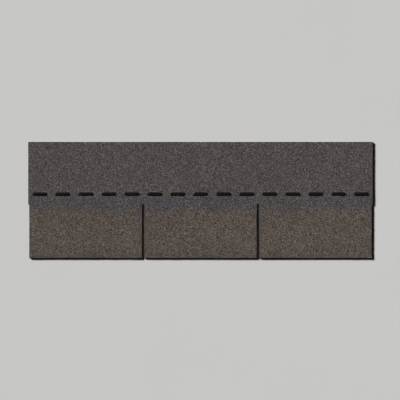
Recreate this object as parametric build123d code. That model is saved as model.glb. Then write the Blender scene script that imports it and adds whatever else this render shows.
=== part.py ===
"""A three-tab asphalt strip shingle, lying granule side up as it comes out of its bundle.

The strip is one sheet: a glass-fibre mat coated with asphalt, with mineral granules pressed into its
face. Its lower edge, the butt, is cut into tabs that read as separate slates on a roof. A broken line of
heat-activated sealant crosses the face above the cut-outs, and grips the tabs of the next course. A film
on the back keeps that sealant from sticking to the strip above while the strips lie in their bundle.

Millimetres. +X runs along the strip, +Y up the roof slope from the butt to the top edge, and +Z out of
the granule face. The origin is at the middle of the back.
"""

import os

from build123d import *

# The sheet
strip_length = 1000.0
strip_width = 337.0  # from the butt edge to the top edge
sheet_thickness = 3.2  # from the back to the tops of the granules
tab_count = 3
tab_corner_radius = 1.0

# The cut-outs between tabs, and half of one at each end of the strip
cutout_width = 6.35
cutout_depth = 156.0  # from the butt edge to the top of the rounded end

# Small nicks in the top edge, one over the middle of each tab. The ends of the next course line up with
# them, which sets that course over by half a tab.
nick_width = 3.0
nick_depth = 4.0

# The sealant, in dashes. Nails go in the line between it and the cut-outs.
nail_line_above_cutouts = 16.0
sealant_above_nail_line = 14.0  # to the middle of the dashes
dashes_per_tab = 5
dash_gap = 22.0
dash_width = 11.0
dash_height = 0.8
dash_bevel = 0.4

# The release film, pressed flush into the back, right behind the sealant line
film_width = 38.0
film_thickness = 0.05

# Places that follow from those sizes
tab_pitch = strip_length / tab_count
butt_edge_y = -strip_width / 2
top_edge_y = strip_width / 2
sealant_y = butt_edge_y + cutout_depth + nail_line_above_cutouts + sealant_above_nail_line


def along_strip(count, pitch):
    """X of each of count places at that pitch, evenly about the middle of the strip."""
    return [(i - (count - 1) / 2) * pitch for i in range(count)]


def sheet_outline():
    """The strip seen from above: its cut-outs, its rounded tab corners and its nicks."""
    outline = Rectangle(strip_length, strip_width)
    # A slot centred on the butt edge leaves its upper half in the sheet, with the rounded end on top.
    slot = SlotOverall(2 * cutout_depth, cutout_width, rotation=90)
    for joint_x in along_strip(tab_count + 1, tab_pitch):
        outline -= Pos(joint_x, butt_edge_y) * slot
    tab_corners = outline.vertices().filter_by_position(Axis.Y, butt_edge_y, butt_edge_y)
    outline = fillet(tab_corners, tab_corner_radius)
    nick = Polygon((-nick_width / 2, 0), (0, -nick_depth), (nick_width / 2, 0), align=None)
    for tab_middle_x in along_strip(tab_count, tab_pitch):
        outline -= Pos(tab_middle_x, top_edge_y) * nick
    return outline


def release_film():
    """One thin ribbon, as long as the strip and cut off with it."""
    return Pos(0, sealant_y) * extrude(Rectangle(strip_length, film_width), film_thickness)


def three_tab_strip():
    """The sheet, with the shallow bed that the film lies in pressed into its back."""
    return extrude(sheet_outline(), sheet_thickness) - release_film()


def sealant_dash(length):
    """One oblong bead with bevelled upper edges, standing on the origin."""
    bead = extrude(SlotOverall(length, dash_width), dash_height)
    top_face = bead.faces().sort_by(Axis.Z)[-1]
    return chamfer(top_face.edges(), dash_bevel)


def sealant_dashes():
    """The whole broken line, with a gap over each cut-out."""
    dash_pitch = tab_pitch / dashes_per_tab
    dash = sealant_dash(dash_pitch - dash_gap)
    places = along_strip(tab_count * dashes_per_tab, dash_pitch)
    return Compound([Pos(x, sealant_y, sheet_thickness) * dash for x in places])


os.makedirs("parts", exist_ok=True)
export_step(three_tab_strip(), "parts/three_tab_strip.step")
export_step(sealant_dashes(), "parts/sealant_dashes.step")
export_step(release_film(), "parts/release_film.step")
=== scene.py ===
# %% [markdown]
# # Dressing a three-tab asphalt shingle
#
# A strip shingle is a mat of glass fibre soaked and coated in asphalt, with crushed and coloured
# stone pressed into its face. From a step away it looks like dark brown sandpaper with two thin
# slits in it. The work in this lesson is to make it hold up from close by too: every granule is a
# small stone of its own, the cut edges show the layers of the sheet, and the sealant beads look
# poured.
#
# The solids come in already packed, in metres, so the first step is only to load them and to ask
# how big they are. Everything below is placed by those boxes.

import math
from types import SimpleNamespace

import bpy
import numpy as np
from mathutils.geometry import delaunay_2d_cdt
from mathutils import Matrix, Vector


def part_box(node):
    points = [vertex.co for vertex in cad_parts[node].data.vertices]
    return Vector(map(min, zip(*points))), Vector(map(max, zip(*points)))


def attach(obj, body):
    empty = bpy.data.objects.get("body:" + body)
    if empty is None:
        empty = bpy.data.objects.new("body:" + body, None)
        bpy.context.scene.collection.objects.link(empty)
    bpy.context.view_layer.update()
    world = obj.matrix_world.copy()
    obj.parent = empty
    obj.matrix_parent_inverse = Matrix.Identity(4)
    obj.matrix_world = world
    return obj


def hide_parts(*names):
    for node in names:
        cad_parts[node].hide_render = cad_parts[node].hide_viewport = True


MM = 0.001
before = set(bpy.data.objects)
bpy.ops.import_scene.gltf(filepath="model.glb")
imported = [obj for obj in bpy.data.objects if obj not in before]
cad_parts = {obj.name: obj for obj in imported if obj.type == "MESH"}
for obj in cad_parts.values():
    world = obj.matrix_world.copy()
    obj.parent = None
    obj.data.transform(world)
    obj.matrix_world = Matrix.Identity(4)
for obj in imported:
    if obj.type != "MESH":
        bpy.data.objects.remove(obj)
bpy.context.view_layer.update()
strip_low, strip_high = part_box("three_tab_strip")
bead_low, bead_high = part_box("sealant_dashes")
film_low, film_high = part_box("release_film")
print("strip in mm", [round(v / MM, 2) for v in strip_high - strip_low])

# %% [markdown]
# ## The outline as one function
#
# Every layer of the sheet ends at the same outline: a rectangle with two slits from its lower edge,
# half a slit at each end, and three small nicks in its upper edge. Booleans could cut that from
# each layer, but they are slow and fragile on meshes of this size. A signed distance is simpler:
# for any point it says how far outside the outline it lies, and is negative inside. With it a mesh
# can be trimmed anywhere, and an edge moves in or out by adding a number to the distance.

# %% Sizes of the outline
STRIP_LENGTH = strip_high.x - strip_low.x
STONE_TOP = strip_high.z
BUTT_Y, TOP_EDGE_Y = strip_low.y, strip_high.y
TAB_COUNT = 3
TAB_PITCH = STRIP_LENGTH / TAB_COUNT
SLIT_RADIUS = 6.35 * MM / 2
SLIT_DEPTH = 156 * MM
SLIT_TOP_Y = BUTT_Y + SLIT_DEPTH
SLIT_ROUND_Y = SLIT_TOP_Y - SLIT_RADIUS  # middle of its rounded end
TAB_CORNER = 1 * MM
NICK_WIDTH, NICK_DEPTH = 3 * MM, 4 * MM
slits_x = [strip_low.x + k * TAB_PITCH for k in range(TAB_COUNT + 1)]
tab_middles_x = [strip_low.x + (k + 0.5) * TAB_PITCH for k in range(TAB_COUNT)]
print("slits at mm", [round(x / MM, 1) for x in slits_x])


# %% Distance outside the strip
def outside_strip(x, y):
    """How far each point lies outside the strip's outline, negative inside."""
    past_x, past_y = np.abs(x) - STRIP_LENGTH / 2, np.abs(y) - TOP_EDGE_Y
    distance = np.hypot(np.maximum(past_x, 0), np.maximum(past_y, 0))
    distance = distance + np.minimum(np.maximum(past_x, past_y), 0)
    for slit in slits_x:
        in_slit = SLIT_RADIUS - np.hypot(x - slit, np.maximum(y - SLIT_ROUND_Y, 0))
        distance = np.maximum(distance, in_slit)
    steepness = NICK_DEPTH / (NICK_WIDTH / 2)
    for middle in tab_middles_x:
        in_nick = y - (TOP_EDGE_Y - NICK_DEPTH) - steepness * np.abs(x - middle)
        distance = np.maximum(distance, in_nick / math.hypot(1, steepness))
    return distance


half_way_up = BUTT_Y + SLIT_DEPTH / 2
print("middle of a slit is outside by mm", round(float(outside_strip(slits_x[1], half_way_up)) / MM, 3))

# %% [markdown]
# ## A little waviness
#
# No shingle lies dead flat. It cooled on rollers and was pressed in a bundle, so it has long
# shallow waves, and the free corners of its tabs stand up by a hair. Noise from a modifier would
# do, but it would have to be repeated on each layer. One function of the place is better: every
# layer asks it for its lift, and so they all stay together. It adds up sine waves in seeded
# directions, which is smooth, cheap, and the same at every run.

# %% Smooth seeded waves
SHORTEST, LONGEST = 0.7, 1.5  # of the wavelength asked for


def waves(x, y, wavelength, seed, count=9):
    """A smooth random field about zero, seldom beyond 2, with features of about that wavelength."""
    rng = np.random.default_rng(seed)
    total = np.zeros(np.shape(x))
    for _ in range(count):
        angle, phase = rng.uniform(0, math.tau, 2)
        pace = math.tau / (wavelength * rng.uniform(SHORTEST, LONGEST))
        total = total + np.sin(pace * (np.cos(angle) * x + np.sin(angle) * y) + phase)
    return total / math.sqrt(count)


sample_wave = waves(np.linspace(0, STRIP_LENGTH, 500), 0, 50 * MM, seed=1)
print("a wave runs from", round(sample_wave.min(), 2), "to", round(sample_wave.max(), 2))


# %% How far the sheet lifts off the floor
WAVE_LIFT, WAVE_LENGTH = 0.12 * MM, 260 * MM
WAVE_CREST = 1.5  # the most of that lift in any place
CORNER_LIFT, CORNER_REACH = 0.16 * MM, 40 * MM
CORNER_LEAST = 0.2  # the least of that lift at any corner


def sheet_lift(x, y):
    """How far the waves and the free corners lift each point."""
    height = WAVE_LIFT * np.clip(0.5 + 0.5 * waves(x, y, WAVE_LENGTH, seed=11), 0, WAVE_CREST)
    corner_share = np.random.default_rng(12).uniform(CORNER_LEAST, 1, (TAB_COUNT, 2))
    for k in range(TAB_COUNT):
        on_tab = np.abs(x - tab_middles_x[k]) < TAB_PITCH / 2
        corners_x = slits_x[k] + SLIT_RADIUS, slits_x[k + 1] - SLIT_RADIUS
        for share, corner_x in zip(corner_share[k], corners_x):
            nearness = np.exp(-((x - corner_x) ** 2 + (y - BUTT_Y) ** 2) / CORNER_REACH**2)
            height = height + np.where(on_tab, CORNER_LIFT * share * nearness, 0)
    return height


corner_lifts = [float(sheet_lift(x, BUTT_Y)) / MM for x in slits_x[1:-1]]
print("lift beside the slits in mm", [round(v, 3) for v in corner_lifts])

# %% [markdown]
# ## Meshes from arrays
#
# The face holds some 130,000 stones. As objects, or as particles made real, they would choke the
# file, and a Python loop over them would take minutes. So all of it is worked out as whole arrays,
# and only the finished arrays go into a mesh, through foreach_set. The helper takes points, faces
# of any size and a flat map for textures, and reports whether the piece is closed, as a solid thing
# should be.

# %% Build one piece
def is_closed(mesh):
    """True if every edge has exactly two faces."""
    edge_of_corner = np.zeros(len(mesh.loops), np.int32)
    mesh.loops.foreach_get("edge_index", edge_of_corner)
    return bool((np.bincount(edge_of_corner, minlength=len(mesh.edges)) == 2).all())


def make_piece(name, points, faces, flat_map=None, smooth=False):
    """An object from points and a list of face arrays, each array with its own number of corners."""
    mesh = bpy.data.meshes.new(name)
    corners = np.concatenate([f.ravel() for f in faces]).astype(np.int32)
    sizes = np.concatenate([np.full(len(f), f.shape[1]) for f in faces])
    mesh.vertices.add(len(points))
    mesh.vertices.foreach_set("co", np.asarray(points, np.float32).ravel())
    mesh.loops.add(len(corners))
    mesh.loops.foreach_set("vertex_index", corners)
    mesh.polygons.add(len(sizes))
    mesh.polygons.foreach_set("loop_start", (np.cumsum(sizes) - sizes).astype(np.int32))
    mesh.polygons.foreach_set("use_smooth", np.full(len(sizes), smooth))
    mesh.update(calc_edges=True)
    if flat_map is not None:
        layer = mesh.uv_layers.new(name="OFBake")
        layer.data.foreach_set("uv", np.asarray(flat_map, np.float32).ravel())
    piece = bpy.data.objects.new(name, mesh)
    bpy.context.scene.collection.objects.link(piece)
    print(f"{name}: {int((sizes - 2).sum())} triangles, closed {is_closed(mesh)}")
    return piece


# %% [markdown]
# ## A lattice that makes stones
#
# Crushed stone has facets, and no two pieces are alike. A triangular lattice gives that with few
# triangles: every third point is a crown, and the six points round it lie in the valleys that it
# shares with its neighbours. Raising the crowns turns the lattice into six-sided stones. The same
# lattice with even heights also serves for the sealant beads.

# %% Points, triangles and crowns
LATTICE_MARGIN = 1.5  # steps that it starts before the box
LATTICE_SPARE = 4  # columns and rows more than the box needs
SAMPLE_SIDE, SAMPLE_STEP = 10 * MM, 1 * MM


def stone_lattice(low, high, spacing):
    """Lattice over a box. Returns points, triangles, which points are crowns, and each triangle's cell."""
    row_step = spacing * math.sqrt(3) / 2
    columns = int((high[0] - low[0]) / spacing) + LATTICE_SPARE
    rows = int((high[1] - low[1]) / row_step) + LATTICE_SPARE
    i, j = np.meshgrid(np.arange(columns), np.arange(rows))
    x = low[0] + (i - LATTICE_MARGIN + 0.5 * (j % 2)) * spacing
    y = low[1] + (j - LATTICE_MARGIN) * row_step
    crown = (i - j // 2 - j) % 3 == 0
    corner = (j * columns + i)[:-1, :-1]
    right, above = corner + 1, corner + columns
    even = (j % 2 == 0)[:-1, :-1]
    lower = np.stack([corner, np.where(even, right, above + 1), above], -1)
    upper_first = np.where(even, right, corner)
    upper = np.stack([upper_first, np.where(even, above + 1, right), np.where(even, above, above + 1)], -1)
    triangles = np.stack([lower, upper], 2).reshape(-1, 3)
    cells = np.repeat(np.stack([i[:-1, :-1], j[:-1, :-1]], -1).reshape(-1, 2), 2, axis=0)
    return x.ravel(), y.ravel(), triangles, crown.ravel(), cells


sample = stone_lattice((0, 0), (SAMPLE_SIDE, SAMPLE_SIDE), SAMPLE_STEP)
sample_x, sample_y, sample_triangles, sample_crown, _ = sample
print("a 10 mm square has", len(sample_x), "points,", int(sample_crown.sum()), "of them crowns")

# %% [markdown]
# ## Trimming the lattice
#
# A lattice that is simply cut off at the outline ends in saw teeth. So each point within half a
# step of the outline is first moved almost onto it, along the slope of the distance, and then every
# triangle with a point farther out is dropped. Triangles that the move has squashed to slivers go
# as well.

# %% Trim to an outline
SNAP = 0.97  # not the whole way, or two points could meet in a corner
SLIVER = 0.08  # twice the least area of a moved triangle, in squared steps
PROBE = 0.02  # of a step, to feel which way the distance grows
DISC_RADIUS = 4 * MM


def trim(x, y, triangles, outside, spacing):
    """Moves points near the outline onto it. Returns them, the triangles to keep and the moved points."""
    step, reach = PROBE * spacing, 0.5 * spacing
    distance = SNAP * outside(x, y)
    near = np.abs(distance) < reach
    slope_x = (outside(x + step, y) - outside(x - step, y)) / (2 * step)
    slope_y = (outside(x, y + step) - outside(x, y - step)) / (2 * step)
    x = np.where(near, x - distance * slope_x, x)
    y = np.where(near, y - distance * slope_y, y)
    a, b, c = triangles.T
    area = (x[b] - x[a]) * (y[c] - y[a]) - (x[c] - x[a]) * (y[b] - y[a])
    inside = (distance < reach)[triangles].all(1)
    keep = inside & ((area > SLIVER * spacing**2) | ~near[triangles].any(1))
    return x, y, keep, near


def outside_disc(x, y):
    """Distance outside a disc in the middle of the sample."""
    return np.hypot(x - SAMPLE_SIDE / 2, y - SAMPLE_SIDE / 2) - DISC_RADIUS


trimmed = trim(sample_x, sample_y, sample_triangles, outside_disc, SAMPLE_STEP)
sample_x, sample_y, sample_keep, _ = trimmed
print("trimmed to a disc, the sample keeps", int(sample_keep.sum()), "of", len(sample_keep), "triangles")

# %% [markdown]
# ## One clean rim
#
# Before a relief can get walls, its rim has to be one closed walk. The rim is made of the edges
# that belong to one triangle only. Three things can spoil it: a point that the rim passes twice, a
# loose crumb, and a pinhole. Triangles at such points are dropped, crumbs are dropped, and pinholes
# are filled with a fan.

# %% Find and mend the rim
def one_rim(triangles):
    """Mends the triangles until one closed walk of points is their rim. Returns both."""
    while True:
        starts, ends = triangles.ravel(), np.roll(triangles, -1, axis=1).ravel()
        size = int(triangles.max()) + 1
        alone = ~np.isin(starts * size + ends, ends * size + starts)
        starts, ends = starts[alone], ends[alone]
        passed_twice = np.flatnonzero(np.bincount(starts) > 1)
        if len(passed_twice) == 0:
            break
        triangles = triangles[~np.isin(triangles, passed_twice).any(1)]
    following = dict(zip(starts.tolist(), ends.tolist()))
    walks = []
    while following:
        walk = [next(iter(following))]
        while walk[-1] in following:
            walk.append(following.pop(walk[-1]))
        walks.append(np.array(walk[:-1]))
    walks.sort(key=len)
    rim = walks.pop()
    for walk in walks:
        touching = np.isin(triangles, walk)
        if touching[touching.any(1)].all():  # a crumb: no triangle leads away from it
            triangles = triangles[~touching.any(1)]
        else:  # a pinhole
            fan = np.stack([np.full(len(walk) - 2, walk[0]), walk[2:], walk[1:-1]], 1)
            triangles = np.concatenate([triangles, fan])
    return triangles, rim


_, sample_rim = one_rim(sample_triangles[sample_keep])
print("the disc's rim passes", len(sample_rim), "points")

# %% [markdown]
# ## Walls and a base
#
# A relief alone is a skin with no inside. To be printed, weighed or cut it needs walls and a floor,
# so each edge of the rim gets a wall down to a flat base, and the walk round the rim is the base's
# own face. The texture map lays the relief out flat, gives the walls a thin border round it, and
# puts the hidden base in a narrow band of its own, where it can't paint over the stones.

# %% Close a relief from below
WALL_BORDER = 0.8 * MM  # how wide the map spreads the walls
BASE_BAND = 0.03  # share of the map's height for the hidden base
TINY = 1e-12  # keeps a length of zero from dividing


def close_below(x, y, z, triangles, base_z):
    """Adds walls and a base. Returns points, faces, map, and which points and triangles were used."""
    kept, rim = one_rim(triangles)
    used, places = np.unique(np.concatenate([kept.ravel(), rim]), return_inverse=True)
    tops, rim = places[: kept.size].reshape(-1, 3), places[kept.size :]
    x, y, z = x[used], y[used], z[used]
    before, after = np.roll(rim, 1), np.roll(rim, -1)
    foot = len(x) + np.arange(len(rim))
    walls = np.stack([rim, foot, np.roll(foot, -1), after], 1)
    base = foot[::-1].reshape(1, -1)
    feet = np.stack([x[rim], y[rim], base_z(x[rim], y[rim])], 1)
    along = np.stack([x[after] - x[before], y[after] - y[before]], 1)
    along = along / (np.linalg.norm(along, axis=1, keepdims=True) + TINY)
    outward = np.stack([along[:, 1], -along[:, 0]], 1)
    flat = np.stack([x, y], 1)
    flat = np.concatenate([flat, flat[rim] + WALL_BORDER * outward])
    unit = (flat - flat.min(0)) / np.ptp(flat, axis=0)
    face_map = unit * [1, 1 - 2 * BASE_BAND]
    base_map = unit * [1, BASE_BAND] + [0, 1 - BASE_BAND]
    flat_map = np.concatenate([face_map[tops.ravel()], face_map[walls.ravel()], base_map[base.ravel()]])
    points = np.concatenate([np.stack([x, y, z], 1), feet])
    return SimpleNamespace(points=points, faces=[tops, walls, base], map=flat_map, used=used, kept=kept)


def flat_base(x, y):
    """A base at height zero."""
    return 0 * x


disc = close_below(sample_x, sample_y, 0 * sample_x + MM, sample_triangles[sample_keep], flat_base)
print("closed, the disc has", len(disc.points), "points and", sum(map(len, disc.faces)), "faces")

# %% [markdown]
# ## Scattering the granules
#
# Roofing granules are crushed rock, mostly 1 to 2 mm across. In a plain lattice their rows would
# show at once, like weaving. So every point is moved a little at random, crowns more than valleys,
# and the whole lattice is warped by smooth waves: they bend the rows within a few stones, and
# stretch some stones while they squeeze others. The coat stops a few tenths of a millimetre short
# of the cut edges, more in some places than in others, because the knife knocks the outermost
# stones off.

# %% Place the stones
STONE_SPACING = 0.985 * MM  # lattice step: the stones are 1.7 times as far apart
VALLEY_SHIFT, CROWN_SHIFT = 0.3, 0.36  # of a lattice step
WARPS = [(0.34 * MM, 5.5 * MM), (0.5 * MM, 13 * MM)]  # amplitude and wavelength
STONE_SIDES = 6  # triangles round a crown
RIM_LOST = 0.42 * MM
RIM_WAVES = 9 * MM, 2.6 * MM  # wavelengths along the edge
RIM_SWING, RIM_LEAST, RIM_MOST = 0.6, 0.25, 2.2  # of what is lost
stone_rng = np.random.default_rng(2024)
x, y, triangles, crown, cells = stone_lattice(strip_low, strip_high, STONE_SPACING)
shift = np.where(crown, CROWN_SHIFT, VALLEY_SHIFT) * STONE_SPACING
warp_x = sum(size * waves(x, y, length, seed=61 + n) for n, (size, length) in enumerate(WARPS))
warp_y = sum(size * waves(x, y, length, seed=71 + n) for n, (size, length) in enumerate(WARPS))
x = x + warp_x + shift * stone_rng.uniform(-1, 1, len(x))
y = y + warp_y + shift * stone_rng.uniform(-1, 1, len(y))


def outside_coat(x, y):
    """Like outside_strip, drawn in by a rim that varies along the edge."""
    ragged = waves(x, y, RIM_WAVES[0], seed=21) + waves(x, y, RIM_WAVES[1], seed=22)
    return outside_strip(x, y) + RIM_LOST * np.clip(1 + RIM_SWING * ragged, RIM_LEAST, RIM_MOST)


x, y, keep, on_rim = trim(x, y, triangles, outside_coat, STONE_SPACING)
print("stones", int(crown[triangles[keep]].sum() / STONE_SIDES))

# %% [markdown]
# ## How deep each stone sits
#
# Some stones stand high, and some were pressed deep. Here and there two touch and look like one,
# and a few are missing. Along the rim the knife went through stones, so the heights there are
# anything between, and it smeared asphalt over what it left of them. So for the colours the rim
# counts as bare asphalt. Every random number is drawn for all points, whether it is used or not:
# then no small change of the outline can shift the numbers of the other stones.

# %% Heights of crowns and valleys
ASPHALT_TOP = STONE_TOP - 0.66 * MM
CROWN_USUAL, CROWN_SPREAD = 0.50 * MM, 0.12 * MM
CROWN_LEAST, CROWN_MOST = 0.2 * MM, 0.8 * MM
MISSING_SHARE, MISSING_HEIGHT = 0.05, 0.1 * MM
VALLEY_MOST = 0.16 * MM
TOUCHING_SHARE = 0.10
BRIDGE_LEAST, BRIDGE_MOST = 0.12 * MM, 0.3 * MM  # by which touching stones fill a valley
CUT_LEAST, CUT_MOST = 0.15 * MM, 0.5 * MM
count = len(x)
crown_height = stone_rng.normal(CROWN_USUAL, CROWN_SPREAD, count)
crown_height = np.clip(crown_height, CROWN_LEAST, CROWN_MOST)
missing = stone_rng.random(count) < MISSING_SHARE
crown_height = np.where(missing, MISSING_HEIGHT, crown_height)
valley_height = stone_rng.uniform(0.0, VALLEY_MOST, count)
touching = stone_rng.random(count) < TOUCHING_SHARE
bridge = stone_rng.uniform(BRIDGE_LEAST, BRIDGE_MOST, count)
valley_height = valley_height + np.where(touching, bridge, 0)
cut_height = stone_rng.uniform(CUT_LEAST, CUT_MOST, count)
standing = np.where(on_rim, cut_height, np.where(crown, crown_height, valley_height))
z = ASPHALT_TOP + standing + sheet_lift(x, y)
# the colour falls to black where this is low: the asphalt between the stones and on the rim, and painted
# shade in the valleys
height_for_asphalt_and_painted_shade = np.where(on_rim, 0, standing)
stone_tone, stone_pick = stone_rng.random(count), stone_rng.random(count)
print("highest stone at mm", round(float(z.max()) / MM, 2))

# %% [markdown]
# ## Six parts of one coat
#
# The coat is cut in six parts, one for each tab and one for the stretch above each tab, so that
# none gets too heavy. Parts share the points along their seams, so no seam shows. Each triangle
# carries two random numbers of its stone, for the colours later, and each point says how far it
# stands clear of the asphalt.

# %% Choose the seams
row_step = STONE_SPACING * math.sqrt(3) / 2
seam_row = int((SLIT_ROUND_Y - strip_low.y) / row_step + LATTICE_MARGIN)
seam_columns = [int((slit - strip_low.x) / STONE_SPACING + LATTICE_MARGIN) for slit in slits_x[1:-1]]
in_tabs = cells[:, 1] < seam_row
tab_number = np.searchsorted(slits_x[1:-1], x[triangles].mean(1))
headlap_number = np.searchsorted(seam_columns, cells[:, 0], side="right")
side_number = np.where(in_tabs, tab_number, headlap_number)
print("seams at row", seam_row, "and columns", seam_columns)


# %% Make the six parts
COAT_SUNK = 0.25 * MM  # below the top of the asphalt


def coat_base(x, y):
    """The underside of the coat, inside the asphalt."""
    return ASPHALT_TOP - COAT_SUNK + sheet_lift(x, y)


def write_numbers(mesh, name, domain, values, total):
    """Stores one number for each of the first faces or points, and zero for the rest."""
    padded = np.zeros(total, np.float32)
    padded[: len(values)] = values
    mesh.attributes.new(name, "FLOAT", domain).data.foreach_set("value", padded)


coat_parts = []
for zone, in_zone in (("tab", in_tabs), ("headlap", ~in_tabs)):
    for number, side in enumerate(("left", "middle", "right")):
        shape = close_below(x, y, z, triangles[keep & in_zone & (side_number == number)], coat_base)
        piece = make_piece(f"granules_{zone}_{side}", shape.points, shape.faces, shape.map)
        stone = shape.kept[np.arange(len(shape.kept)), crown[shape.kept].argmax(1)]
        face_count = len(piece.data.polygons)
        write_numbers(piece.data, "tone", "FACE", stone_tone[stone], face_count)
        write_numbers(piece.data, "pick", "FACE", stone_pick[stone], face_count)
        write_numbers(piece.data, "clear", "POINT", height_for_asphalt_and_painted_shade[shape.used], len(shape.points))
        coat_parts.append(piece)

# %% [markdown]
# ## The sheet under the stones
#
# At its cut edges the sheet shows what it is made of: asphalt, the thin grey line of the glass mat,
# and asphalt again. A knife sheared it from above, so the edge is rounded below and a little uneven
# all over. A plain extrusion would be too clean. Instead the outline is walked once, in lines and
# arcs, and stacked in rings at several heights, each pushed in or out by a few hundredths of a
# millimetre.

# %% Lines and arcs of the outline
EDGE_STEP = 1.5 * MM
CORNER_STEPS, ROUND_STEPS = 4, 8  # in a quarter turn, at a tab's corner and over a slit


def line(start, end):
    """Points from start up to, but without, end."""
    share = np.arange(max(1, math.ceil(math.dist(start, end) / EDGE_STEP)))[:, None]
    share = share / len(share)
    return np.array(start) * (1 - share) + np.array(end) * share


def arc(centre, radius, start_degrees, end_degrees, steps):
    """Points on an arc, without its last one."""
    angle = np.radians(start_degrees + (end_degrees - start_degrees) * np.arange(steps) / steps)
    return np.stack([centre[0] + radius * np.cos(angle), centre[1] + radius * np.sin(angle)], 1)


def tab_edge(k):
    """Down one side of a tab, along its butt, up the other side and over the next slit."""
    left, right = slits_x[k] + SLIT_RADIUS, slits_x[k + 1] - SLIT_RADIUS
    corner_y, quarters = BUTT_Y + TAB_CORNER, 1 if k == TAB_COUNT - 1 else 2
    return [
        line((left, SLIT_ROUND_Y), (left, corner_y)),
        arc((left + TAB_CORNER, corner_y), TAB_CORNER, 180, 270, CORNER_STEPS),
        line((left + TAB_CORNER, BUTT_Y), (right - TAB_CORNER, BUTT_Y)),
        arc((right - TAB_CORNER, corner_y), TAB_CORNER, 270, 360, CORNER_STEPS),
        line((right, corner_y), (right, SLIT_ROUND_Y)),
        arc((slits_x[k + 1], SLIT_ROUND_Y), SLIT_RADIUS, 180, 180 - 90 * quarters, ROUND_STEPS * quarters),
    ]


print("one tab takes", sum(map(len, tab_edge(0))), "points")

# %% Walk round the outline
walk = [arc((slits_x[0], SLIT_ROUND_Y), SLIT_RADIUS, 90, 0, ROUND_STEPS)]
for k in range(TAB_COUNT):
    walk += tab_edge(k)
at = (slits_x[-1], TOP_EDGE_Y)
walk.append(line((slits_x[-1], SLIT_TOP_Y), at))
for middle in reversed(tab_middles_x):
    nick_right, nick_left = (middle + NICK_WIDTH / 2, TOP_EDGE_Y), (middle - NICK_WIDTH / 2, TOP_EDGE_Y)
    nick_tip = (middle, TOP_EDGE_Y - NICK_DEPTH)
    walk += [line(at, nick_right), line(nick_right, nick_tip), line(nick_tip, nick_left)]
    at = nick_left
top_left = (slits_x[0], TOP_EDGE_Y)
walk += [line(at, top_left), line(top_left, (slits_x[0], SLIT_TOP_Y))]
outline = np.concatenate(walk)
print("outline points", len(outline))

# %% [markdown]
# ## Filling the face and the back
#
# One flat polygon on the back couldn't follow the waves of the sheet, and the release film would
# sink into it. So the outline is filled with triangles over a coarse grid of points. Blender has a
# triangulation that takes loose points together with edges that must stay, and it does all of that
# in one call.

# %% Fill the outline
FILL_STEP = 9 * MM
FILL_MARGIN = 2 * MM  # between the grid and the outline
INSIDE_ONLY = 1  # the kind of result: triangles inside the outline
MERGE = 1e-7  # points nearer than this would be joined
grid_x, grid_y = np.meshgrid(
    np.arange(strip_low.x, strip_high.x, FILL_STEP), np.arange(BUTT_Y, TOP_EDGE_Y, FILL_STEP))
well_inside = outside_strip(grid_x, grid_y) < -FILL_MARGIN
fill = np.stack([grid_x[well_inside], grid_y[well_inside]], 1)
around = len(outline)
outline_edges = [(k, (k + 1) % around) for k in range(around)]
all_flat = np.concatenate([outline, fill])
filled = delaunay_2d_cdt(all_flat.tolist(), outline_edges, [], INSIDE_ONLY, MERGE)
fill_triangles = np.array(filled[2])
assert len(filled[0]) == len(all_flat), "the fill added or lost points"
print("fill", len(fill_triangles), "triangles")

# %% Stack the rings
BACK_Z = 0.12 * MM  # the back stands this far over the floor, with the film under it
RING_HEIGHTS = np.array([0, 0.22, 0.85, 1.2, 1.42, 2.0, 2.42])
RING_PUSH = np.array([-0.16, -0.02, 0.0, -0.05, -0.04, 0.0, -0.07]) * MM
EDGE_WAVE, EDGE_WAVE_LENGTH = 0.05 * MM, 7 * MM
EDGE_WAVE_LEAN = 3  # how far the waves move along from one height to another
EDGE_ROUGH = 0.018 * MM
ring_z = BACK_Z + RING_HEIGHTS / RING_HEIGHTS[-1] * (ASPHALT_TOP - BACK_Z)
previous, following = np.roll(outline, 1, axis=0), np.roll(outline, -1, axis=0)
along = (following - previous) / np.linalg.norm(following - previous, axis=1, keepdims=True)
outward = np.stack([along[:, 1], -along[:, 0]], 1)
edge_rng = np.random.default_rng(31)
outline_lift, fill_lift = sheet_lift(*outline.T), sheet_lift(*fill.T)
rings = []
for height, push in zip(ring_z, RING_PUSH):
    leaning = outline[:, 0] + EDGE_WAVE_LEAN * height
    uneven = EDGE_WAVE * waves(leaning, outline[:, 1], EDGE_WAVE_LENGTH, seed=32)
    uneven = uneven + edge_rng.normal(0, EDGE_ROUGH, around)
    rings.append(np.column_stack([outline + outward * (push + uneven)[:, None], height + outline_lift]))
back_fill = np.column_stack([fill, BACK_Z + fill_lift])
top_fill = np.column_stack([fill, ASPHALT_TOP + fill_lift])
sheet_points = np.concatenate([*rings, back_fill, top_fill])
print("rings at mm", (ring_z / MM).round(2))

# %% Faces between the rings
ring_count = len(rings)
here = np.arange(around)
beside = np.roll(here, -1)
edge_faces = np.concatenate([
    np.stack([here + low, beside + low, beside + low + around, here + low + around], 1)
    for low in np.arange(ring_count - 1) * around])
fill_start, top_ring = ring_count * around, (ring_count - 1) * around
is_ring = fill_triangles < around
top_faces = np.where(is_ring, fill_triangles + top_ring, fill_triangles - around + fill_start + len(fill))
back_faces = np.where(is_ring, fill_triangles, fill_triangles - around + fill_start)[:, ::-1]
print("edge faces", len(edge_faces))

# %% [markdown]
# ## A texture map for the sheet
#
# When the finishes are baked to pictures, each part of the surface needs room on the map in
# proportion to how much it is seen. The back gets most. The cut edge is a ribbon over three metres
# long and 2.4 mm high, so it is folded into eight rows. The face under the stones hardly shows and
# gets a narrow band.

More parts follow.
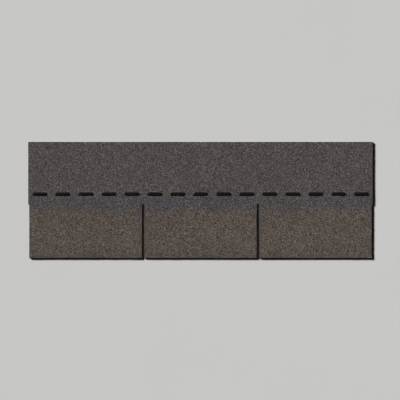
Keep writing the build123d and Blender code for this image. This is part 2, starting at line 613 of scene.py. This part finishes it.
# %% Lay out the map and make the sheet
EDGE_ROWS, EDGE_SHARE, HIDDEN_SHARE, MAP_GAP = 8, 0.12, 0.03, 0.01
ROW_SPARE = 1.001  # a hair longer than needed, so that the walk ends in the last row
ROW_FILL = 0.85  # how much of a row's height is used
unit = np.clip((all_flat - [strip_low.x, BUTT_Y]) / [STRIP_LENGTH, TOP_EDGE_Y - BUTT_Y], 0, 1)
back_map = (unit * [1, 1 - EDGE_SHARE - HIDDEN_SHARE - 2 * MAP_GAP])[fill_triangles[:, ::-1].ravel()]
top_map = (unit * [1, HIDDEN_SHARE] + [0, 1 - HIDDEN_SHARE])[fill_triangles.ravel()]
reach = np.concatenate([[0], np.cumsum(np.linalg.norm(following - outline, axis=1))])
row_length = reach[-1] / EDGE_ROWS * ROW_SPARE
row = (reach[:-1] / row_length).astype(int)
edges_from = 1 - EDGE_SHARE - HIDDEN_SHARE - MAP_GAP
edge_map = np.zeros((ring_count - 1, around, 4, 2))
for k in range(ring_count - 1):
    for corner, (reached, level) in enumerate(
            ((reach[:-1], k), (reach[1:], k), (reach[1:], k + 1), (reach[:-1], k + 1))):
        edge_map[k, :, corner, 0] = np.clip(reached / row_length - row, 0, 1)
        share_up = ROW_FILL * level / (ring_count - 1)
        edge_map[k, :, corner, 1] = edges_from + (row + share_up) * EDGE_SHARE / EDGE_ROWS
sheet_map = np.concatenate([edge_map.reshape(-1, 2), top_map, back_map])
asphalt_sheet = make_piece("asphalt_sheet", sheet_points, [edge_faces, top_faces, back_faces], sheet_map)

# %% [markdown]
# ## Sealant beads
#
# The sealant is hot asphalt that a wheel lays down in dashes. It flows a little before it sets, so
# the ends are round, the edges wander, and the top swells over the stones under it. Each bead is
# trimmed from the lattice by the distance to an oblong with a wavy edge. Its height follows that
# distance in a quarter circle, so it rises steeply and then levels off, as a thick liquid does.

# %% Sizes of the beads
BEAD_SPACING = 0.62 * MM
DASHES_PER_TAB = 5
DASH_GAP = 22 * MM
BEAD_SWELL = 3 * MM  # how far in from its edge a bead still rises
BEAD_FOOT = STONE_TOP - 0.25 * MM
BEAD_ROOT = 0.25 * MM  # how far it goes on down between the stones
BEAD_EXTRA = 0.17 * MM  # what it rises more because it starts below the stone tops
WANDER, WANDER_LENGTH, BEAD_INSET = 0.28 * MM, 6 * MM, 0.3 * MM
RIPPLE, RIPPLE_LENGTH = 0.05 * MM, 2.4 * MM
SWAY, SWAY_LENGTH = 0.04 * MM, 14 * MM
bead_pitch = TAB_PITCH / DASHES_PER_TAB
bead_half_length, bead_half_width = (bead_pitch - DASH_GAP) / 2, (bead_high.y - bead_low.y) / 2
bead_y = (bead_low.y + bead_high.y) / 2
bead_rise = bead_high.z - bead_low.z + BEAD_EXTRA
print("bead in mm", round(2 * bead_half_length / MM, 2), "by", round(2 * bead_half_width / MM, 2))


# %% Pour one bead
def pour_bead(middle_x, shorter):
    """Points and triangles of one bead. Shorter is how much its left and right ends fall short."""

    def outside_bead(x, y):
        """Distance outside the bead's wandering edge."""
        straight = bead_half_length - bead_half_width - np.where(x > middle_x, shorter[1], shorter[0])
        past_end = np.maximum(np.abs(x - middle_x) - straight, 0)
        wander = WANDER * waves(x, y, WANDER_LENGTH, seed=42) + BEAD_INSET
        return np.hypot(past_end, y - bead_y) - bead_half_width + wander

    low = (middle_x - bead_half_length, bead_low.y)
    high = (middle_x + bead_half_length, bead_high.y)
    x, y, triangles, _, _ = stone_lattice(low, high, BEAD_SPACING)
    x, y, keep, _ = trim(x, y, triangles, outside_bead, BEAD_SPACING)
    depth = np.clip(-outside_bead(x, y) / BEAD_SWELL, 0, 1)
    swell = np.sqrt(1 - (1 - depth) ** 2)
    ripple = RIPPLE * waves(x, y, RIPPLE_LENGTH, seed=43) + SWAY * waves(x, y, SWAY_LENGTH, seed=44)
    z = BEAD_FOOT + bead_rise * swell + ripple * np.minimum(1, 2 * depth) + sheet_lift(x, y)
    return x, y, z, triangles[keep]


def bead_base(x, y):
    """Where the beads end, down between the stones."""
    return BEAD_FOOT - BEAD_ROOT + sheet_lift(x, y)


print("a bead takes", len(pour_bead(0, (0, 0))[3]), "triangles")

# %% Pour the whole broken line
MAP_COLUMNS, MAP_MARGIN = 5, 0.015  # the map holds the beads in a grid
SHORT_LEAST, SHORT_MOST = -0.4 * MM, 0.8 * MM  # how much the ends fall short
bead_count = TAB_COUNT * DASHES_PER_TAB
map_cells = np.array([MAP_COLUMNS, math.ceil(bead_count / MAP_COLUMNS)])
bead_rng = np.random.default_rng(41)
bead_points, bead_faces, bead_maps, points_so_far = [], [], [], 0
for n in range(bead_count):
    middle_x = strip_low.x + (n + 0.5) * bead_pitch
    shape = close_below(*pour_bead(middle_x, bead_rng.uniform(SHORT_LEAST, SHORT_MOST, 2)), bead_base)
    map_cell = np.array([n % MAP_COLUMNS, n // MAP_COLUMNS])
    bead_points.append(shape.points)
    bead_faces += [faces + points_so_far for faces in shape.faces]
    bead_maps.append((map_cell + MAP_MARGIN + (1 - 2 * MAP_MARGIN) * shape.map) / map_cells)
    points_so_far += len(shape.points)
bead_points, bead_map = np.concatenate(bead_points), np.concatenate(bead_maps)
sealant_beads = make_piece("sealant_beads", bead_points, bead_faces, bead_map, smooth=True)
print("beads", bead_count, "highest at mm", round(float(bead_points[:, 2].max()) / MM, 2))

# %% [markdown]
# ## The release film
#
# A strip of clear polyester sticks to the back, right behind the sealant line, so that the strip
# below in a bundle can't glue itself to it. It went on warm, and cooled with small slanting
# creases. It is made as two equal grids a few hundredths of a millimetre apart, joined at their
# borders, so that it is a solid too.

# %% Shape the film
FILM_STEP = 1.8 * MM
FILM_THICKNESS = 0.04 * MM
FILM_INSET = 0.3 * MM  # at each end of the strip
FILM_OVER_FLOOR = 0.015 * MM
FILM_WANDER, FILM_WANDER_LENGTH = 0.25 * MM, 60 * MM
CREASE_HEIGHT, CREASE_LENGTH, CREASE_SHARPNESS = 0.07 * MM, 17 * MM, 6
CREASE_BEND, CREASE_BEND_LENGTH, CREASE_LEAN = 6 * MM, 70 * MM, 0.35
SLACK_HEIGHT, SLACK_LENGTH = 0.02 * MM, 30 * MM
CREASE_STRETCH, SLACK_STRETCH = 0.2, 0.3  # y counts only so much, which draws both out across the film
film_length, film_width = film_high.x - film_low.x, film_high.y - film_low.y
columns, rows = int(film_length / FILM_STEP), int(film_width / FILM_STEP)
i, j = np.meshgrid(np.arange(columns + 1), np.arange(rows + 1))
film_x = film_low.x + FILM_INSET + (film_length - 2 * FILM_INSET) * i / columns
film_wander = FILM_WANDER * waves(film_x, 0 * film_x, FILM_WANDER_LENGTH, seed=51)
film_y = film_low.y + film_width * j / rows + film_wander
bend = CREASE_BEND * waves(film_x, film_y, CREASE_BEND_LENGTH, seed=53)
bent_x = film_x + CREASE_LEAN * film_y + bend
crease = waves(bent_x, CREASE_STRETCH * film_y, CREASE_LENGTH, seed=52)
crease = np.exp(-CREASE_SHARPNESS * np.abs(crease))
slack = np.clip(waves(film_x, SLACK_STRETCH * film_y, SLACK_LENGTH, seed=54), 0, 1)
film_z = FILM_OVER_FLOOR + (CREASE_HEIGHT * crease + SLACK_HEIGHT) * slack + sheet_lift(film_x, film_y)
under = np.stack([film_x, film_y, film_z], -1).reshape(-1, 3)
film_points = np.concatenate([under, under + [0, 0, FILM_THICKNESS]])
print("film grid", columns, "by", rows)

# %% Close the film and map it, folded in four rows
FILM_ROWS = 4
ROW_MARGIN, SIDE_SHARE, UPPER_START = 0.02, 0.46, 0.5  # of a row's height
BORDER_PLACES = np.array([0.97, 0.97, 1, 1])  # its lower corners lie just under its upper ones
grid = j * (columns + 1) + i
upward = np.stack([grid[:-1, :-1], grid[:-1, 1:], grid[1:, 1:], grid[1:, :-1]], -1).reshape(-1, 4)
border = np.concatenate([grid[0, :-1], grid[:-1, -1], grid[-1, :0:-1], grid[:0:-1, 0]])
border_next = np.roll(border, -1)
border_faces = np.stack([border, border_next, border_next + grid.size, border + grid.size], 1)
share_x = (film_x.ravel() - film_low.x) / film_length
share_y = (film_y.ravel() - film_y.min()) / np.ptp(film_y)


def folded(corners, upper):
    """Map places of those faces' corners, each face in the row where its first corner lies."""
    fold = np.minimum((share_x[corners[:, :1] % grid.size] * FILM_ROWS).astype(int), FILM_ROWS - 1)
    u = np.clip(share_x[corners % grid.size] * FILM_ROWS - fold, 0, 1)
    across = ROW_MARGIN + SIDE_SHARE * share_y[corners % grid.size] + UPPER_START * upper
    v = (fold + across) / FILM_ROWS
    return np.stack([u, v], -1).reshape(-1, 2)


film_faces = [upward[:, ::-1], upward + grid.size, border_faces]
film_map = np.concatenate([
    folded(film_faces[0], upper=0.0),
    folded(film_faces[1], upper=1.0),
    folded(border_faces, upper=BORDER_PLACES),
])
film_ribbon = make_piece("release_film_ribbon", film_points, film_faces, film_map, smooth=True)

# %% [markdown]
# ## How a finish is written
#
# Every finish below is a tree of nodes, with no pictures. Set up by hand, each would be forty lines
# of adding and linking. A few small helpers make it read as a recipe instead: what pattern, at what
# scale, and what it feeds. A scale is given in features a metre, because the object's own
# coordinates are metres.

# %% Start a finish and add nodes
def new_finish(name):
    """A material whose tree holds only the shader and the output."""
    finish = bpy.data.materials.new(name)
    finish.use_nodes = True
    print(f"{name}: starts with {len(finish.node_tree.nodes)} nodes")
    return finish


def add(finish, kind, inputs=None, **settings):
    """Adds a node. Each input is a number, a colour, or another node's output."""
    made = finish.node_tree.nodes.new(kind)
    for key, value in settings.items():
        setattr(made, key, value)
    for key, value in (inputs or {}).items():
        if isinstance(value, bpy.types.NodeSocket):
            finish.node_tree.links.new(value, made.inputs[key])
        else:
            made.inputs[key].default_value = value
    return made


# %% Patterns, places and sums
NOISE_RANGE = (0.3, 0.7)  # nearly all of the noise lies between these


def place(finish, stretch=(1.0, 1.0, 1.0)):
    """The point on the object in metres, stretched along each axis."""
    point = add(finish, "ShaderNodeTexCoord").outputs["Object"]
    return add(finish, "ShaderNodeMapping", {"Vector": point, "Scale": stretch}).outputs[0]


def noise(finish, features_per_metre, detail=2.0, stretch=(1.0, 1.0, 1.0)):
    """Cloudy noise about 0.5."""
    inputs = {"Vector": place(finish, stretch), "Scale": features_per_metre, "Detail": detail}
    return add(finish, "ShaderNodeTexNoise", inputs).outputs["Fac"]


def stored(finish, name):
    """A number that the mesh carries."""
    return add(finish, "ShaderNodeAttribute", attribute_name=name).outputs["Fac"]


def calc(finish, operation, first, second=0.0):
    """One sum."""
    return add(finish, "ShaderNodeMath", {0: first, 1: second}, operation=operation).outputs[0]


def spread(finish, value, source, target=(0.0, 1.0)):
    """Maps the source range onto the target range, and stays inside it."""
    ranges = {"From Min": source[0], "From Max": source[1], "To Min": target[0], "To Max": target[1]}
    return add(finish, "ShaderNodeMapRange", {"Value": value, **ranges}).outputs["Result"]


print("noise is read between", *NOISE_RANGE)

# %% Colours
SCREEN_FOOT, SCREEN_SLOPE = 0.04045, 12.92  # the screen's curve is straight up to the foot
SCREEN_OFFSET, SCREEN_POWER = 0.055, 2.4


def screen_colour(red, green, blue):
    """A colour as a screen shows it, 0 to 255, as the linear numbers that a shader wants."""
    share = np.array([red, green, blue]) / 255
    curved = ((share + SCREEN_OFFSET) / (1 + SCREEN_OFFSET)) ** SCREEN_POWER
    return (*np.where(share <= SCREEN_FOOT, share / SCREEN_SLOPE, curved).tolist(), 1.0)


def ramp(finish, value, stops, interpolation="LINEAR"):
    """A colour for each value, from (position, colour) stops."""
    made = add(finish, "ShaderNodeValToRGB", {"Fac": value})
    made.color_ramp.interpolation = interpolation
    elements = made.color_ramp.elements
    while len(elements) < len(stops):
        elements.new(1.0)
    for element, (position, colour) in zip(elements, stops):
        element.position, element.color = position, colour
    return made.outputs["Color"]


MIX_SHARE, MIX_FIRST, MIX_SECOND, MIX_RESULT = 0, 6, 7, 2  # the sockets of that node that hold colours


def mix(finish, share, first, second, blend="MIX"):
    """Two colours, mixed by share."""
    inputs = {MIX_SHARE: share, MIX_FIRST: first, MIX_SECOND: second}
    mixed = add(finish, "ShaderNodeMix", inputs, data_type="RGBA", blend_type=blend)
    return mixed.outputs[MIX_RESULT]


print("half grey on a screen is", round(screen_colour(128, 128, 128)[0], 3), "of full light")


# %% Feed the shader
def feed(finish, colour, roughness, shine, bump, bump_height, bump_strength):
    """Links the patterns to the shader. Shine is one number all over, so it is set on the shader itself."""
    shader = finish.node_tree.nodes["Principled BSDF"]
    shader.inputs["Specular IOR Level"].default_value = shine
    links = finish.node_tree.links
    links.new(colour, shader.inputs["Base Color"])
    links.new(roughness, shader.inputs["Roughness"])
    inputs = {"Height": bump, "Distance": bump_height, "Strength": bump_strength}
    links.new(add(finish, "ShaderNodeBump", inputs).outputs["Normal"], shader.inputs["Normal"])
    print(f"{finish.name}: {len(finish.node_tree.nodes)} nodes")


# %% [markdown]
# ## Two blends of stone
#
# The brown of such a strip is a blend: most stones are middle brown, some nearly black, and a few
# are tan or pale. A noise texture would run its colours across several stones. Here each stone
# looks up its own random number in a ramp with hard steps, so a colour always ends where its stone
# does. The pale steps are greyer and the dark ones browner, which keeps the blend from looking like
# gravel in many colours.
#
# The upper part of the sheet stays covered in use, and has a cheaper blend of slate-grey slag. It
# spills a little way into the tops of the tabs, in soft patches. A stone belongs to it if its
# second random number is under a share that grows up the slope and varies with a cloud.

# %% Ramps of the two blends
def blend_stops(*stops):
    """Stops of (share of the stones below, red, green, blue)."""
    return [(share, screen_colour(*colour)) for share, *colour in stops]


BROWN_BLEND = blend_stops(
    (0.0, 38, 30, 25), (0.13, 62, 53, 46), (0.32, 85, 75, 67), (0.57, 102, 92, 84), (0.83, 118, 108, 100),
    (0.975, 142, 132, 123))
SLATE_BLEND = blend_stops(
    (0.0, 36, 35, 37), (0.10, 55, 54, 58), (0.38, 76, 74, 78), (0.72, 95, 93, 97), (0.95, 130, 128, 131))
granules = new_finish("mineral_granules")
brown_stone = ramp(granules, stored(granules, "tone"), BROWN_BLEND, "CONSTANT")
slate_stone = ramp(granules, stored(granules, "tone"), SLATE_BLEND, "CONSTANT")
print("brown steps", len(BROWN_BLEND), "slate steps", len(SLATE_BLEND))

# %% Where the slate stones lie
SLATE_REACH = 44 * MM  # how far down the tabs they spill
SLATE_FADE = 30 * MM  # how far over the slits they thin out again
SLATE_CLIMB, PATCH_SWING = (-0.42, 0.6), (-0.35, 0.35)  # up the tab, and from patch to patch
SLATE_RISE, SLATE_SHARES = (0.0, 0.5), (0.02, 0.88)  # their sum, and the share of slate that it gives
SLATE_THINNED = (1.0, 0.6)
PATCHES = 38.0  # features a metre
up_slope = add(granules, "ShaderNodeSeparateXYZ", {0: place(granules)}).outputs["Y"]
patches = spread(granules, noise(granules, PATCHES, detail=3.0), NOISE_RANGE, PATCH_SWING)
climb = spread(granules, up_slope, (SLIT_TOP_Y - SLATE_REACH, SLIT_TOP_Y), SLATE_CLIMB)
slate_share = spread(granules, calc(granules, "ADD", climb, patches), SLATE_RISE, SLATE_SHARES)
thinned = spread(granules, up_slope, (SLIT_TOP_Y, SLIT_TOP_Y + SLATE_FADE), SLATE_THINNED)
slate_share = calc(granules, "MULTIPLY", slate_share, thinned)
is_slate = calc(granules, "LESS_THAN", stored(granules, "pick"), slate_share)
stone_colour = mix(granules, is_slate, brown_stone, slate_stone)
print("slate spills to y in mm", round((SLIT_TOP_Y - SLATE_REACH) / MM, 1))

# %% [markdown]
# ## Life in the granules
#
# Three things keep the coat from looking printed. Crushed rock is speckled itself, so a fine noise
# changes each stone's brightness. The sheet as a whole is cloudy, and each tab gets painted shade: it
# is a little paler across its lower middle than along its butt and near its top. And between the
# stones the black asphalt shows: wherever a point stands barely clear of it, the colour falls to
# black, which is the asphalt and also painted shade in the valleys. That last step costs nothing,
# because each point already carries its height.

# %% Paint shade on the stones, and black for the asphalt and the shade in the valleys
# painted shade on each tab: brightness by share of its height, darker at the butt and towards the top
BUTT_BAND, BUTT_PAINTED_SHADE = (0.08, 0.3), (1.19, 1.28)  # share of the tab's height, brightness there
TOP_BAND, TOP_PAINTED_SHADE = (0.4, 0.8), (1.0, 0.945)
SPECKLES, CLOUDS, GRIT = 1900.0, 9.0, 2600.0  # features a metre
SPECKLE_RANGE, SPECKLE_SHADE, CLOUD_SHADE = (0.25, 0.75), (0.76, 1.24), (0.95, 1.05)
CLEAR_RANGE = (0.02 * MM, 0.11 * MM)
ASPHALT_AND_PAINTED_SHADE_BLACK = screen_colour(24, 22, 21)
STONE_ROUGHNESS = (0.68, 0.95)
up_tab = spread(granules, up_slope, (BUTT_Y, SLIT_TOP_Y))
painted_shade_at_butt = spread(granules, up_tab, BUTT_BAND, BUTT_PAINTED_SHADE)
painted_tab_shade = calc(granules, "MULTIPLY", painted_shade_at_butt, spread(granules, up_tab, TOP_BAND, TOP_PAINTED_SHADE))
speckle = spread(granules, noise(granules, SPECKLES, detail=3.0), SPECKLE_RANGE, SPECKLE_SHADE)
cloudy = spread(granules, noise(granules, CLOUDS, detail=3.0), NOISE_RANGE, CLOUD_SHADE)
# speckle and clouds are the stones' own tone; the tab's part of this product is painted shade
tone_and_painted_shade = calc(granules, "MULTIPLY", calc(granules, "MULTIPLY", speckle, cloudy), painted_tab_shade)
grey_shade = add(granules, "ShaderNodeCombineColor", {0: tone_and_painted_shade, 1: tone_and_painted_shade, 2: tone_and_painted_shade}).outputs[0]
shaded_stone = mix(granules, 1.0, stone_colour, grey_shade, "MULTIPLY")
# black where a point stands barely clear: the asphalt itself, and painted shade in the valleys between the
# stones
clear_of_asphalt_and_painted_shade = spread(granules, stored(granules, "clear"), CLEAR_RANGE)
coat_colour = mix(granules, clear_of_asphalt_and_painted_shade, ASPHALT_AND_PAINTED_SHADE_BLACK, shaded_stone)
coat_roughness = spread(granules, stored(granules, "pick"), (0.0, 1.0), STONE_ROUGHNESS)
grit = noise(granules, GRIT, detail=3.0)
feed(granules, coat_colour, coat_roughness, shine=0.3, bump=grit, bump_height=0.06 * MM, bump_strength=0.6)

# %% [markdown]
# ## Asphalt and mat on the cut edge
#
# The sheet is black asphalt. On its cut edge the mat is a thin grey line, broken where asphalt
# smeared over it. It could be a strip of geometry, but at a fifth of a millimetre it would only
# cost triangles. A band of colour at the right height does the same, and the two rings that are
# pushed in there give it its groove.

# %% Cut edge
MAT_Z = BACK_Z + 1.31 * MM
MAT_CORE, MAT_END = 0.09 * MM, 0.2 * MM  # up and down from there
MAT_GREY = screen_colour(90, 86, 79)
MAT_SMEARS, MAT_BARE = 520.0, (0.32, 0.62)  # features a metre, and the noise from smeared to bare
MOTTLES = 900.0  # features a metre
asphalt = new_finish("asphalt_and_mat")
height = add(asphalt, "ShaderNodeSeparateXYZ", {0: place(asphalt)}).outputs["Z"]
from_mat = calc(asphalt, "ABSOLUTE", calc(asphalt, "SUBTRACT", height, MAT_Z))
mat_band = spread(asphalt, from_mat, (MAT_CORE, MAT_END), (1.0, 0.0))
mat_bare = spread(asphalt, noise(asphalt, MAT_SMEARS, detail=5.0), MAT_BARE)
black_stops = [(0.3, screen_colour(22, 21, 20)), (0.7, screen_colour(42, 39, 37))]
black = ramp(asphalt, noise(asphalt, MOTTLES, detail=3.0), black_stops)
mat_share = calc(asphalt, "MULTIPLY", mat_band, mat_bare)
edge_colour = mix(asphalt, mat_share, black, MAT_GREY)
print("mat line at mm", round(MAT_Z / MM, 2))

# %% [markdown]
# ## The dusted back
#
# The back was dusted with fine sand while it was hot, so that the strips don't stick to each other
# in the bundle. That turns it a mottled dark grey, with faint streaks the way it ran through the
# machine: the same noise, stretched twentyfold along the strip. The direction of the face tells the
# back from the edges.

# %% Back
STREAKS = (9.0, 210.0, 210.0)  # features a metre, along each axis
STREAK_RANGE, STREAK_SWING = (0.35, 0.65), (-0.035, 0.035)
DUST_CLOUDS, DUST_SWING, SAND = 16.0, (-0.05, 0.05), 2300.0
DOWNWARD = -0.9  # below this, a face belongs to the back
streak = spread(asphalt, noise(asphalt, 1.0, detail=4.0, stretch=STREAKS), STREAK_RANGE, STREAK_SWING)
dust_cloud = spread(asphalt, noise(asphalt, DUST_CLOUDS, detail=4.0), NOISE_RANGE, DUST_SWING)
sand = noise(asphalt, SAND)
dusting = calc(asphalt, "ADD", calc(asphalt, "ADD", streak, dust_cloud), sand)
dust_stops = [(0.34, screen_colour(36, 34, 33)), (0.5, screen_colour(60, 57, 55)),
              (0.7, screen_colour(112, 107, 101))]
dusted = ramp(asphalt, dusting, dust_stops)
facing = add(asphalt, "ShaderNodeNewGeometry").outputs["True Normal"]
facing_up = add(asphalt, "ShaderNodeSeparateXYZ", {0: facing}).outputs["Z"]
is_back = calc(asphalt, "LESS_THAN", facing_up, DOWNWARD)
sheet_colour = mix(asphalt, is_back, edge_colour, dusted)
sheet_roughness = spread(asphalt, sand, NOISE_RANGE, (0.5, 0.85))
feed(asphalt, sheet_colour, sheet_roughness, shine=0.2, bump=sand, bump_height=0.12 * MM, bump_strength=0.7)

# %% [markdown]
# ## Sealant
#
# Soft, rich asphalt sets with a skin that shines more than the hard coating round it, duller where
# dust has settled. So its colour stays near black, and nearly all the variation goes into the
# roughness.

# %% Sealant finish
sealant = new_finish("sealant_asphalt")
SKIN, SKIN_DUST = 260.0, 700.0  # features a metre
skin = noise(sealant, SKIN, detail=4.0)
sealant_stops = [(0.35, screen_colour(15, 14, 14)), (0.75, screen_colour(30, 28, 27))]
dusty_skin = spread(sealant, noise(sealant, SKIN_DUST, detail=3.0), NOISE_RANGE, (0.22, 0.46))
bead_colour = ramp(sealant, skin, sealant_stops)
feed(sealant, bead_colour, dusty_skin, shine=0.5, bump=skin, bump_height=0.1 * MM, bump_strength=0.4)

# %% [markdown]
# ## Film
#
# Clear film on a dark sheet hardly has a colour of its own. What shows is the back, lifted a little
# by the film's haze, and a strong shine. Real transparency would add noise and nothing else, so the
# film is painted in the colour that it shows, with fine streaks across it from the cooling.

# %% Film finish
film = new_finish("clear_release_film")
HAZE_STREAKS = (300.0, 60.0, 1.0)  # features a metre, along each axis
haze = noise(film, 1.0, detail=6.0, stretch=HAZE_STREAKS)
film_stops = [(0.3, screen_colour(92, 92, 94)), (0.7, screen_colour(112, 113, 115))]
film_colour, film_roughness = ramp(film, haze, film_stops), spread(film, haze, NOISE_RANGE, (0.08, 0.16))
feed(film, film_colour, film_roughness, shine=0.5, bump=haze, bump_height=0.05 * MM, bump_strength=0.25)

# %% [markdown]
# ## Handing over
#
# Each piece gets its finish and rides on the one body of this object, and the imported solid that it
# stands for is hidden. The coat and the sheet stand for the same solid, because at the factory they
# are bonded in one sheet.

# %% Finishes, bodies and solids
dressing = [(piece, granules, "granule_face", "three_tab_strip") for piece in coat_parts]
dressing += [
    (asphalt_sheet, asphalt, "granule_face", "three_tab_strip"),
    (sealant_beads, sealant, "sealant", "sealant_dashes"),
    (film_ribbon, film, "film", "release_film"),
]
for piece, finish, slot, node in dressing:
    piece.data.materials.append(finish)
    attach(piece, "root")
    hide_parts(node)
print("pieces", len(dressing))

# %% [markdown]
# ## Floor and light
#
# In use the slits between the tabs look black, because hardly any light gets into them. On a pale
# floor they do so only if the light comes in low. A key light 15 degrees over the floor, from the
# upper left, leaves the bottom of each slit in shadow and draws a dark line along the butt edge.
# The sky stays dim overhead for the same reason, and turns pale at the horizon, where it stands
# behind the floor in low views.

# %% Floor
FLOOR_HALF, FLOOR_DROP = 30.0, 0.02 * MM
FIBRES = 3.0  # features a metre
PAPER_DARK, PAPER_LIGHT = (0.74, 0.735, 0.72, 1), (0.76, 0.755, 0.74, 1)
floor_corners = np.array([[-1, -1, 0], [1, -1, 0], [1, 1, 0], [-1, 1, 0]]) * FLOOR_HALF
floor = make_piece("studio_floor", floor_corners - [0, 0, FLOOR_DROP], [np.array([[0, 1, 2, 3]])])
paper = new_finish("pale_floor")
fibre = noise(paper, FIBRES)
paper_colour = ramp(paper, fibre, [(0.0, PAPER_DARK), (1.0, PAPER_LIGHT)])
paper_roughness = spread(paper, fibre, NOISE_RANGE, (0.88, 0.92))
feed(paper, paper_colour, paper_roughness, shine=0.5, bump=fibre, bump_height=0.01 * MM, bump_strength=0.1)
floor.data.materials.append(paper)

# %% Key light
KEY_ELEVATION, KEY_AZIMUTH = math.radians(15), math.radians(142)  # azimuth from +X towards +Y
KEY_STRENGTH, KEY_SIZE = 9.0, math.radians(8)  # watts a square metre, and how wide its disc looks
key = bpy.data.lights.new("low_key", "SUN")
key.energy, key.angle = KEY_STRENGTH, KEY_SIZE
key_light = bpy.data.objects.new("low_key", key)
key_light.rotation_euler = (0, math.pi / 2 - KEY_ELEVATION, KEY_AZIMUTH)
bpy.context.scene.collection.objects.link(key_light)
print("key light", KEY_STRENGTH, "watts a square metre")

# %% Sky
sky = bpy.data.worlds.new("studio_sky")
sky.use_nodes = True
bpy.context.scene.world = sky
SKY_STOPS = [(0.08, 0.5), (0.12, 0.05), (0.36, 0.04), (0.46, 0.003)]  # sine of the elevation, brightness
direction = add(sky, "ShaderNodeTexCoord").outputs["Generated"]
upward_share = add(sky, "ShaderNodeSeparateXYZ", {0: direction}).outputs["Z"]
sky_colour = ramp(sky, upward_share, [(sine, (light, light, light, 1)) for sine, light in SKY_STOPS])
sky.node_tree.links.new(sky_colour, sky.node_tree.nodes["Background"].inputs["Color"])
print("sky nodes", len(sky.node_tree.nodes))

# %% [markdown]
# ## Camera
#
# The tabs show with square corners and no perspective, so the camera looks straight down through a
# long lens. Its height follows from the size of a tab in the picture: 114.9 of 400 pixels. It
# stands half a pixel to the left of the middle, so that each slit fills two whole pixels and looks
# as dark as it is.

# %% Camera straight above
PICTURE_PIXELS, TAB_PIXELS = 400, 114.9
LENS_MM, SENSOR_MM = 200.0, 36.0
NEAREST, FARTHEST = 0.1, 100.0  # what the camera sees
view_width = TAB_PITCH * PICTURE_PIXELS / TAB_PIXELS
half_pixel = view_width / PICTURE_PIXELS / 2
lens = bpy.data.cameras.new("overhead")
lens.lens, lens.sensor_width = LENS_MM, SENSOR_MM
lens.clip_start, lens.clip_end = NEAREST, FARTHEST
camera = bpy.data.objects.new("overhead", lens)
camera.location = (-half_pixel, 0, STONE_TOP + view_width * LENS_MM / SENSOR_MM)
bpy.context.scene.collection.objects.link(camera)
bpy.context.scene.camera = camera
bpy.context.scene.view_settings.view_transform = "Standard"
print("camera height", round(camera.location.z, 3), "m, view", round(view_width, 3), "m wide")
